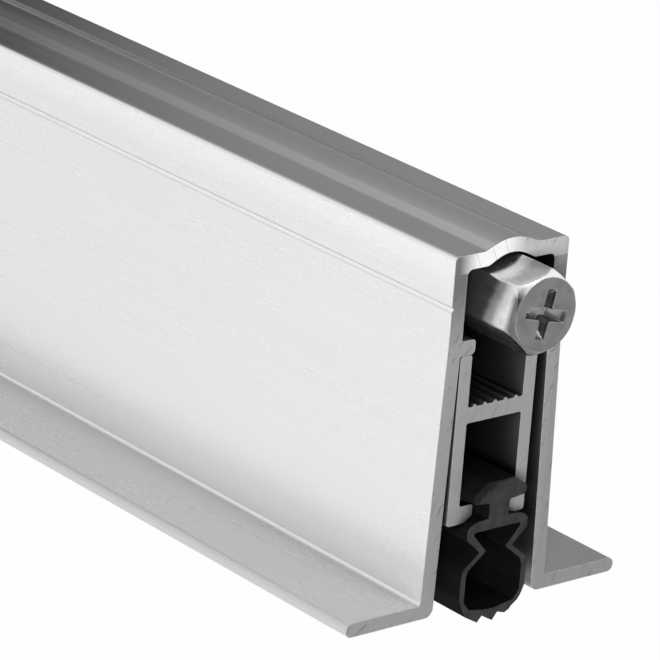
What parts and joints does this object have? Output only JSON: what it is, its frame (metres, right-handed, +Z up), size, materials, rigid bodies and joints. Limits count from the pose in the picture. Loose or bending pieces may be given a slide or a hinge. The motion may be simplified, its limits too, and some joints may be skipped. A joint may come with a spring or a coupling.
{
  "type": "automatic door bottom seal",
  "caption": "Aluminium drop seal half let into a door's bottom edge: pressing the hexagonal screw at the hinge end lowers a hollow rubber seal onto the floor.",
  "frame": {"origin": "middle of the four flange holes, in the top face of the flanges that meets the door's underside; half way along the housing and across it", "axes": "+X along the seal towards the adjusting screw, Y across the door's thickness, +Z up into the door"},
  "size_m": [0.3445, 0.0444, 0.0504],
  "materials": {
    "brushed_aluminium": "mill finish, fine lengthwise die lines",
    "bar_aluminium": "mill finish",
    "seal_rubber": "matt black",
    "screw_steel": "zinc plated",
    "brass": "turned",
    "rod_steel": "drawn",
    "pin_steel": "zinc plated",
    "spring_steel": "drawn wire",
    "strip_steel": "zinc plated sheet",
    "guide_plastic": "moulded"
  },
  "bodies": {
    "housing": {"housing": "brushed_aluminium", "front_guide_block": "guide_plastic", "rear_guide_block": "guide_plastic", "drop_guide_block": "guide_plastic", "guide_pin": "pin_steel", "block_screws": "pin_steel", "return_spring": "spring_steel"},
    "push_rod": {"push_rod": "rod_steel", "threaded_sleeve": "brass", "spring_washer": "pin_steel", "rod_clevis": "rod_steel", "clevis_pin": "pin_steel", "slide_strip": "strip_steel"},
    "adjusting_screw": {"adjusting_screw": "screw_steel"},
    "drop_bar": {"drop_bar": "bar_aluminium", "seal": "seal_rubber", "front_lug": "strip_steel", "rear_lug": "strip_steel", "guide_plate": "strip_steel"},
    "front_levers": {"front_lever_left": "strip_steel", "front_lever_right": "strip_steel", "front_upper_pin": "pin_steel", "front_lower_pin": "pin_steel"},
    "rear_levers": {"rear_lever_left": "strip_steel", "rear_lever_right": "strip_steel", "rear_upper_pin": "pin_steel", "rear_lower_pin": "pin_steel"}
  },
  "joints": [
    {"name": "push", "type": "slide", "parent": "housing", "child": "push_rod", "axis": [-1, 0, 0], "range_m": [0, 0.004], "stiffness_N_per_m": 2000, "springref_m": -0.005, "deforming": ["return_spring"]},
    {"name": "screw_turn", "type": "hinge", "parent": "push_rod", "child": "adjusting_screw", "pos_m": [0.1625, 0, 0.0394], "axis": [1, 0, 0], "continuous": true},
    {"name": "drop", "type": "slide", "parent": "housing", "child": "drop_bar", "axis": [0, 0, -1], "range_m": [0, 0.0127]},
    {"name": "front_lever_swing", "type": "hinge", "parent": "push_rod", "child": "front_levers", "pos_m": [0.08, 0, 0.0394], "axis": [0, -1, 0], "range_deg": [0, 15.31]},
    {"name": "rear_lever_swing", "type": "hinge", "parent": "push_rod", "child": "rear_levers", "pos_m": [-0.04, 0, 0.0394], "axis": [0, -1, 0], "range_deg": [0, 15.31]}
  ],
  "couplings": [
    {"joint": "drop", "follows": "push", "ratio": 3.175},
    {"joint": "front_lever_swing", "follows": "push", "rad_per_m": 66.773},
    {"joint": "rear_lever_swing", "follows": "push", "rad_per_m": 66.773}
  ]
}
